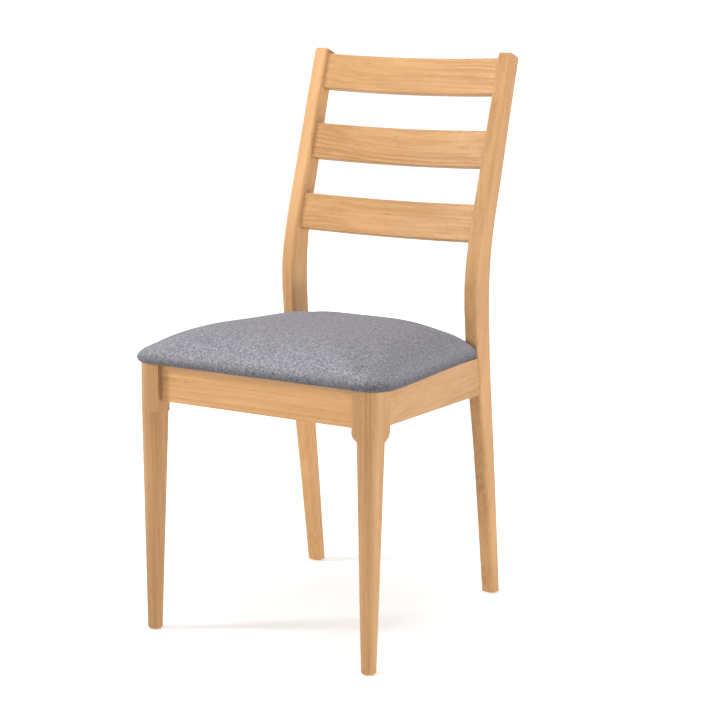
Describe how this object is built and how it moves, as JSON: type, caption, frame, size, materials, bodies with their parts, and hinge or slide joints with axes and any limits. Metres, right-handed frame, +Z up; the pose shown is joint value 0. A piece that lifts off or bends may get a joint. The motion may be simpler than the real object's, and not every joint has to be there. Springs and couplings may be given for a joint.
{
  "type": "dining chair",
  "caption": "Ladder-back dining chair: oak frame with turned front legs, raked sabre posts, bent back slats and a crowned grey fabric seat pad.",
  "frame": {"origin": "on the floor under the middle of the chair's outer size", "axes": "+Z up, the seat faces -Y, +X to the right of someone looking at the front"},
  "size_m": [0.4416, 0.5018, 0.8832],
  "materials": {
    "oak": "satin clear lacquer on pale golden oak",
    "pine": "unfinished softwood",
    "beech": "plain turned dowel",
    "plywood": "raw plywood",
    "foam": "open cell upholstery foam",
    "cover_fabric": "plain woven melange, matt",
    "screw_steel": "zinc plated",
    "staple_steel": "galvanised wire",
    "glide_plastic": "moulded nylon"
  },
  "bodies": {
    "root": {"front_leg_left": "oak", "front_leg_right": "oak", "rear_post_left": "oak", "rear_post_right": "oak", "front_rail": "oak", "rear_rail": "oak", "side_rail_left": "oak", "side_rail_right": "oak", "top_slat": "oak", "middle_slat": "oak", "lower_slat": "oak", "corner_block_front_left": "pine", "corner_block_front_right": "pine", "corner_block_rear_left": "pine", "corner_block_rear_right": "pine", "front_rail_dowels": "beech", "rear_rail_dowels": "beech", "side_rail_dowels_left": "beech", "side_rail_dowels_right": "beech", "corner_block_screws": "screw_steel", "seat_fixing_screws": "screw_steel", "seat_board": "plywood", "seat_foam": "foam", "seat_cover": "cover_fabric", "cover_staples": "staple_steel", "glide_front_left": "glide_plastic", "glide_front_right": "glide_plastic", "glide_rear_left": "glide_plastic", "glide_rear_right": "glide_plastic"}
  },
  "joints": []
}
